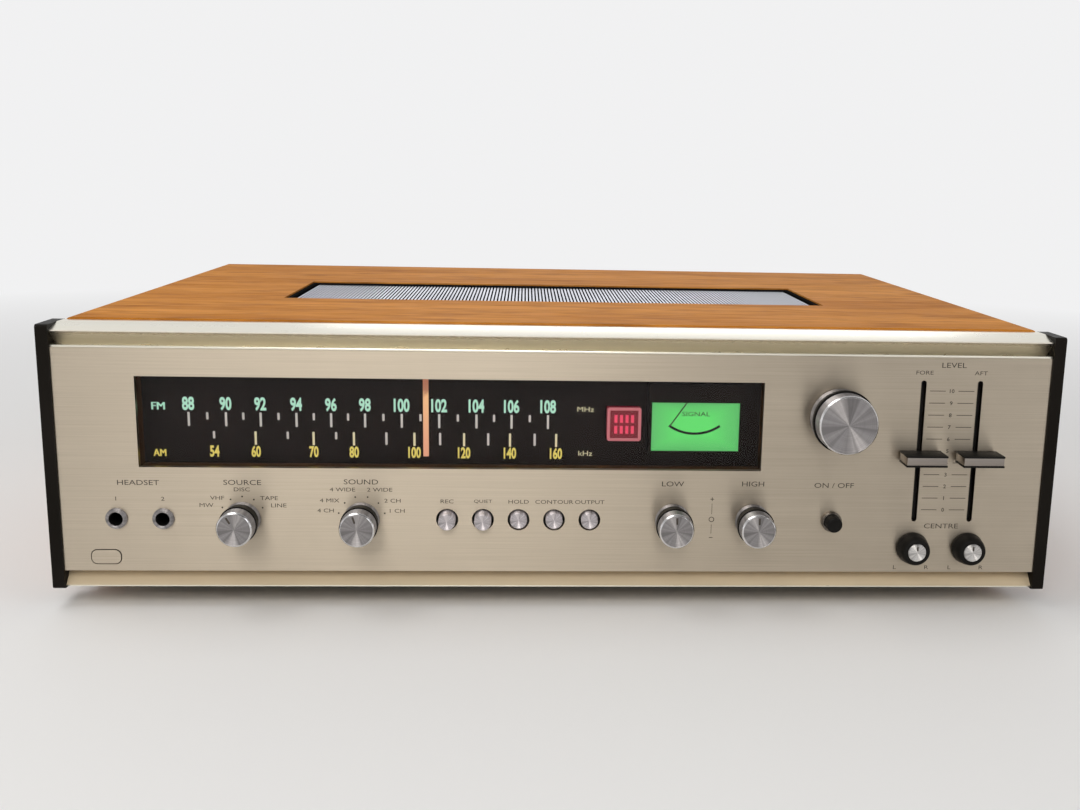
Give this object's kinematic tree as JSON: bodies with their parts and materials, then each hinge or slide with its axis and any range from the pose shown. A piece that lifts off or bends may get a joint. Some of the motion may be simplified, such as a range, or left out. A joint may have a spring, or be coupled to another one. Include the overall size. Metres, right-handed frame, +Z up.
{
  "type": "quadraphonic receiver",
  "caption": "Stereo receiver in a wooden cabinet: brushed metal front with lit tuning dial, meter, turned knobs, push buttons and volume sliders, slatted vent on top.",
  "frame": {"origin": "on the floor under the middle of the object's box", "axes": "+X to the right seen from the front, +Y to the rear, +Z up"},
  "size_m": [0.484, 0.361, 0.138],
  "materials": {
    "walnut": "satin oiled, grain along the width",
    "panel_metal": "brushed along the width, warm tint",
    "rail_metal": "bright drawn extrusion",
    "knob_metal": "turned and polished",
    "black_plastic": "matte",
    "black_metal": "matte black paint",
    "grille_metal": "satin blue grey",
    "rubber_black": "matte",
    "bright_steel": "plated",
    "clear_pane": "clear",
    "scale_plate": "dark, printed scale",
    "pointer_plastic": "lit edge",
    "lamp_glass": "clear bulb",
    "cord_fibre": "woven",
    "pulley_plastic": "moulded",
    "chassis_steel": "zinc plated",
    "control_black": "black oxide",
    "lens_red": "translucent",
    "meter_plastic": "lit face",
    "coil_iron": "varnished stampings and windings",
    "sleeve_blue": "shrunk sleeve",
    "board_green": "laminate",
    "terminal_plastic": "moulded",
    "ferrite_dark": "ferrite with a coil"
  },
  "bodies": {
    "receiver": {"cabinet_top": "walnut", "cabinet_sides": "walnut", "vent_frame": "black_metal", "vent_grille": "grille_metal", "front_panel": "panel_metal", "trim_rails": "rail_metal", "end_caps": "black_plastic", "rubber_feet": "rubber_black", "case_screws": "bright_steel", "dial_window": "clear_pane", "dial_housing": "black_plastic", "dial_scale_plate": "scale_plate", "pilot_lamps": "lamp_glass", "dial_cords": "cord_fibre", "tuning_capacitor": "chassis_steel", "meter_case": "meter_plastic", "indicator_lens": "lens_red", "panel_bushes": "bright_steel", "phone_jacks": "black_plastic", "panel_potentiometers": "control_black", "panel_switches": "chassis_steel", "sub_panel": "chassis_steel", "chassis_pan": "chassis_steel", "rear_panel": "black_metal", "power_transformer": "coil_iron", "filter_capacitors": "sleeve_blue", "heat_sink": "black_metal", "circuit_boards": "board_green", "phono_sockets": "bright_steel", "wire_terminals": "terminal_plastic", "mains_fittings": "black_plastic", "aerial_bar": "ferrite_dark"},
    "tuning": {"tuning_shaft": "bright_steel", "tuning_knob": "black_plastic", "tuning_knob_cap": "knob_metal"},
    "pointer": {"dial_pointer": "pointer_plastic"},
    "drum": {"cord_drum": "pulley_plastic"},
    "upper_idler": {"upper_idler_pulley": "pulley_plastic"},
    "lower_idler": {"lower_idler_pulley": "pulley_plastic"},
    "needle": {"meter_needle": "black_metal"},
    "selector": {"selector_knob": "black_plastic", "selector_knob_cap": "knob_metal"},
    "mode": {"mode_knob": "black_plastic", "mode_knob_cap": "knob_metal"},
    "bass": {"bass_knob": "black_plastic", "bass_knob_cap": "knob_metal"},
    "treble": {"treble_knob": "black_plastic", "treble_knob_cap": "knob_metal"},
    "front_balance": {"front_balance_knob": "black_plastic", "front_balance_insert": "knob_metal"},
    "rear_balance": {"rear_balance_knob": "black_plastic", "rear_balance_insert": "knob_metal"},
    "front_volume": {"front_volume_slider": "black_plastic"},
    "rear_volume": {"rear_volume_slider": "black_plastic"},
    "button_1": {"push_button_1": "knob_metal"},
    "button_2": {"push_button_2": "knob_metal"},
    "button_3": {"push_button_3": "knob_metal"},
    "button_4": {"push_button_4": "knob_metal"},
    "button_5": {"push_button_5": "knob_metal"},
    "power": {"power_button": "black_plastic"}
  },
  "joints": [
    {"name": "tuning_turn", "type": "hinge", "parent": "receiver", "child": "tuning", "pos_m": [0.1335, -0.1615, 0.0968], "axis": [0, 1, 0], "range_deg": [-1655.85, 879.49]},
    {"name": "pointer_slide", "type": "slide", "parent": "receiver", "child": "pointer", "axis": [1, 0, 0], "range_m": [-0.1157, 0.0615]},
    {"name": "drum_turn", "type": "hinge", "parent": "receiver", "child": "drum", "pos_m": [0.04, -0.1615, 0.0895], "axis": [0, 1, 0], "range_deg": [-200.81, 106.7]},
    {"name": "upper_idler_turn", "type": "hinge", "parent": "receiver", "child": "upper_idler", "pos_m": [-0.208, -0.1615, 0.1175], "axis": [0, 1, 0], "range_deg": [-1324.78, 703.69]},
    {"name": "lower_idler_turn", "type": "hinge", "parent": "receiver", "child": "lower_idler", "pos_m": [-0.208, -0.1615, 0.0615], "axis": [0, 1, 0], "range_deg": [-1324.78, 703.69]},
    {"name": "needle_swing", "type": "hinge", "parent": "receiver", "child": "needle", "pos_m": [0.0652, -0.1615, 0.1076], "axis": [0, -1, 0], "range_deg": [0, 69.4], "stiffness_Nm_per_rad": 0.0001},
    {"name": "selector_turn", "type": "hinge", "parent": "receiver", "child": "selector", "pos_m": [-0.1515, -0.1615, 0.045], "axis": [0, 1, 0], "range_deg": [-30, 90]},
    {"name": "mode_turn", "type": "hinge", "parent": "receiver", "child": "mode", "pos_m": [-0.0953, -0.1615, 0.045], "axis": [0, 1, 0], "range_deg": [-60, 90]},
    {"name": "bass_turn", "type": "hinge", "parent": "receiver", "child": "bass", "pos_m": [0.0544, -0.1615, 0.045], "axis": [0, 1, 0], "range_deg": [-150, 150]},
    {"name": "treble_turn", "type": "hinge", "parent": "receiver", "child": "treble", "pos_m": [0.0936, -0.1615, 0.045], "axis": [0, 1, 0], "range_deg": [-150, 150]},
    {"name": "front_balance_turn", "type": "hinge", "parent": "receiver", "child": "front_balance", "pos_m": [0.17395, -0.1615, 0.0316], "axis": [0, 1, 0], "range_deg": [-140, 140]},
    {"name": "rear_balance_turn", "type": "hinge", "parent": "receiver", "child": "rear_balance", "pos_m": [0.20165, -0.1615, 0.0316], "axis": [0, 1, 0], "range_deg": [-140, 140]},
    {"name": "front_volume_slide", "type": "slide", "parent": "receiver", "child": "front_volume", "axis": [0, 0, 1], "range_m": [-0.0274, 0.0319]},
    {"name": "rear_volume_slide", "type": "slide", "parent": "receiver", "child": "rear_volume", "axis": [0, 0, 1], "range_m": [-0.0274, 0.0319]},
    {"name": "button_1_press", "type": "slide", "parent": "receiver", "child": "button_1", "axis": [0, 1, 0], "range_m": [0, 0.0035], "stiffness_N_per_m": 150},
    {"name": "button_2_press", "type": "slide", "parent": "receiver", "child": "button_2", "axis": [0, 1, 0], "range_m": [0, 0.0035], "stiffness_N_per_m": 150},
    {"name": "button_3_press", "type": "slide", "parent": "receiver", "child": "button_3", "axis": [0, 1, 0], "range_m": [-0.0035, 0.0006], "stiffness_N_per_m": 150},
    {"name": "button_4_press", "type": "slide", "parent": "receiver", "child": "button_4", "axis": [0, 1, 0], "range_m": [-0.0035, 0.0006], "stiffness_N_per_m": 150},
    {"name": "button_5_press", "type": "slide", "parent": "receiver", "child": "button_5", "axis": [0, 1, 0], "range_m": [-0.0035, 0.0006], "stiffness_N_per_m": 150},
    {"name": "power_press", "type": "slide", "parent": "receiver", "child": "power", "axis": [0, 1, 0], "range_m": [0, 0.003], "stiffness_N_per_m": 150}
  ],
  "couplings": [
    {"joint": "pointer_slide", "follows": "tuning_turn", "m_per_rad": 0.004},
    {"joint": "drum_turn", "follows": "tuning_turn", "ratio": 0.12121},
    {"joint": "upper_idler_turn", "follows": "tuning_turn", "ratio": 0.8},
    {"joint": "lower_idler_turn", "follows": "tuning_turn", "ratio": 0.8}
  ]
}
